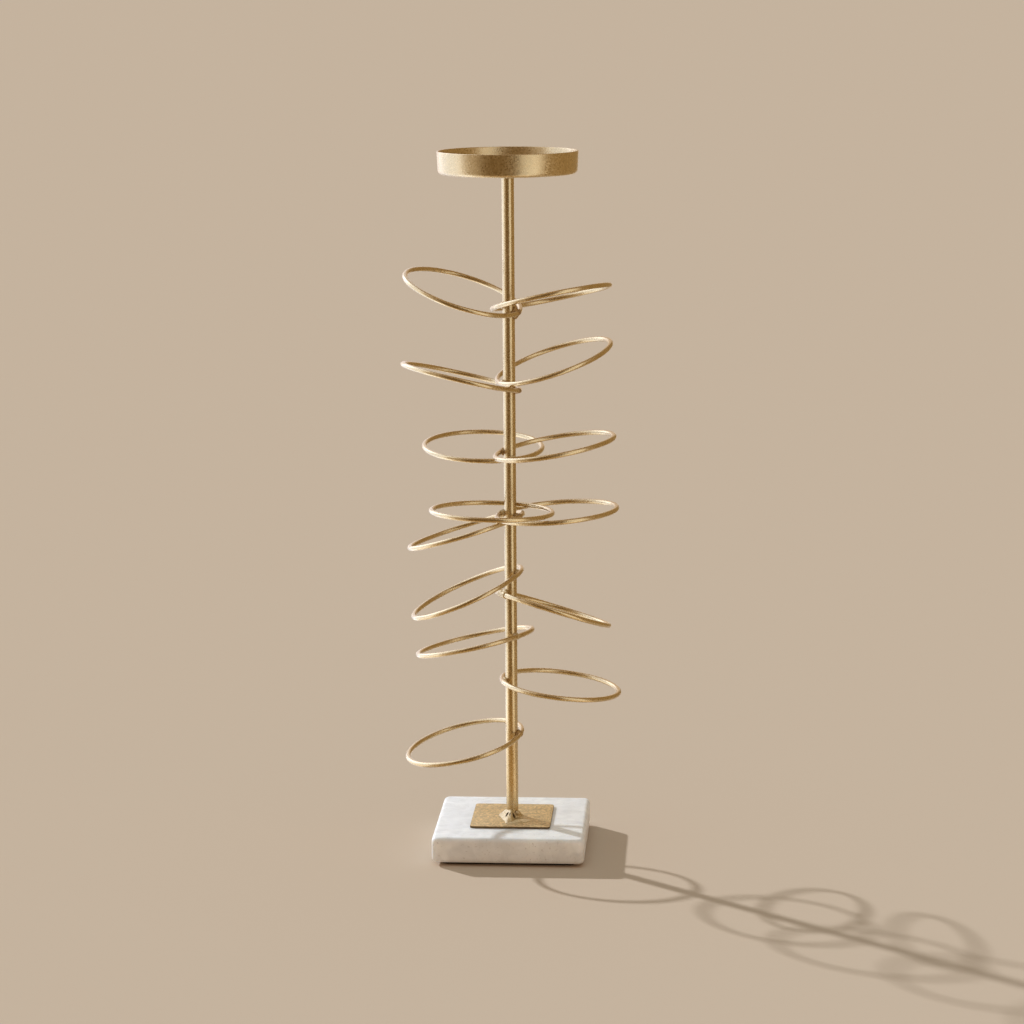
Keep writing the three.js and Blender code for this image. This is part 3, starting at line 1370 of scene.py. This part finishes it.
@dataclass
class Studio:
    """Plain floor, lamps, reflection cards and the camera."""

    floor_colour: Colour = (0.6, 0.49, 0.387, 1)
    floor_size: float = 400
    room_colour: Colour = (0.64, 0.47, 0.33, 1)
    room_light: float = 0.66
    eye: Point = (0.128, -1.832, 0.570)
    pitch: float = 10.59
    heading: float = 3.96
    roll: float = -0.42
    lens: float = 100.2
    sensor: float = 36
    # Source, power, softness and colour of each
    lamps: tuple[FarLamp, ...] = (
        FarLamp("key", MAIN_LIGHT, 3.05, 1.6, (0.94, 0.99, 1.05)),
        FarLamp("sky", (0.0, 0.0, 1.0), 0.45, 60, (0.3, 1.0, 1.3)),
        FarLamp("sheen", MAIN_LIGHT, 0.46, 40, (0.9, 1.02, 1.38), on_matt=False, on_gloss=True),
        FarLamp("fill", (0.3, -0.9, 0.4), 0.35, 90, (1.04, 0.64, 0.42)),
    )
    # Bearing, distance, width, height, brightness and colour of each
    boxes: tuple[Softbox, ...] = (
        Softbox("window", -104, 0.26, 0.34, 0.9, 1.1, (0.82, 1.05, 1.55)),
        Softbox("window_back", -150, 0.26, 0.2, 0.9, 0.4, (0.83, 1.04, 1.5)),
        Softbox("window_edge", -60, 0.3, 0.22, 0.9, 0.42, (1.0, 0.93, 0.84)),
        Softbox("front_right", 40, 0.28, 0.17, 0.9, 0.95, (0.94, 1.0, 1.08)),
        Softbox("window_pool", -108, 0.22, 0.5, 0.26, 0.85, (0.95, 1.0, 1.1), lying=True),
        Softbox("front_pool", 40, 0.22, 0.16, 0.26, 0.85, (1.0, 0.86, 0.72), lying=True),
        Softbox("wall_behind", 185, 1.3, 2.6, 1.2, 0.35, (1.0, 0.85, 0.7)),
    )
    # Glowing sheets seen only in reflections: they paint dim warm reflections in the metal and hide the
    # lamps behind them
    glow_flags: tuple[Softbox, ...] = (
        Softbox("front_glow_flag", -13, 0.32, 1.0, 0.7, 1.0, (0.2, 0.12, 0.042)),
        Softbox("right_glow_flag", 112, 0.4, 1.0, 1.1, 1.0, (0.40, 0.27, 0.125)),
        Softbox("front_glow_sheet", -8, 0.26, 0.5, 0.34, 1.0, (0.56, 0.345, 0.13), lying=True),
    )

    def floor(self) -> None:
        """Lays the plain floor."""
        bpy.ops.mesh.primitive_plane_add(size=self.floor_size)
        floor = take("floor")
        mix = Mixture("plain_floor")
        mix.fix(Base_Color=self.floor_colour, Roughness=1.0, Specular_IOR_Level=0.0)
        floor.data.materials.append(mix.material)

    def room(self) -> None:
        """Fills the room with a soft warm light."""
        world = bpy.data.worlds.new("room")
        world.use_nodes = True
        back = world.node_tree.nodes["Background"]
        back.inputs["Color"].default_value = self.room_colour
        back.inputs["Strength"].default_value = self.room_light
        bpy.context.scene.world = world

    def camera(self) -> None:
        """Sets the camera at the photograph's angle."""
        data = bpy.data.cameras.new("camera")
        data.lens = self.lens
        data.sensor_width = self.sensor
        camera = bpy.data.objects.new("camera", data)
        look = Euler((math.radians(90 - self.pitch), 0, math.radians(self.heading))).to_matrix()
        lean = Matrix.Rotation(math.radians(self.roll), 3, "Z")
        camera.rotation_euler = (look @ lean).to_euler()
        camera.location = self.eye
        bpy.context.scene.collection.objects.link(camera)
        bpy.context.scene.camera = camera

    def build(self) -> None:
        """Sets up the whole studio."""
        self.floor()
        self.room()
        for lamp in self.lamps:
            lamp.hang()
        for box in self.boxes:
            box.stand()
        for flag in self.glow_flags:
            flag.hang()
        self.camera()
        bpy.context.scene.view_settings.view_transform = "Standard"
        log.info("studio: floor, room light and %d lamps", len(self.lamps) + len(self.boxes))


def main() -> None:
    """Models, dresses and lights the candle holder."""
    logging.basicConfig(level=logging.INFO, format="%(name)s %(message)s")
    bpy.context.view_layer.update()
    seats = [RingSeat.read(number) for number in range(1, RING_COUNT + 1)]
    drawn = DRAWN_BRASS.material()
    weld = WeldBrass().material()
    tinted_shaded_weld = HEAT_TINT_AND_SHADE_WELD.material()
    MarbleFoot(HonedMarble().material(), DarkFelt().material(), ZincSteel().material()).build()
    StemColumn(drawn, SANDED_BRASS.material(), weld, seats).build()
    for seat in seats:
        tack = HEAVY_TACKS.get(seat.number, Tack())
        WireRing(seat, drawn, tinted_shaded_weld if tack.browned else weld, tack).build()
    CandleDish(SatinBrass().material(), weld).build()
    Studio().build()


if __name__ == "__main__":
    main()
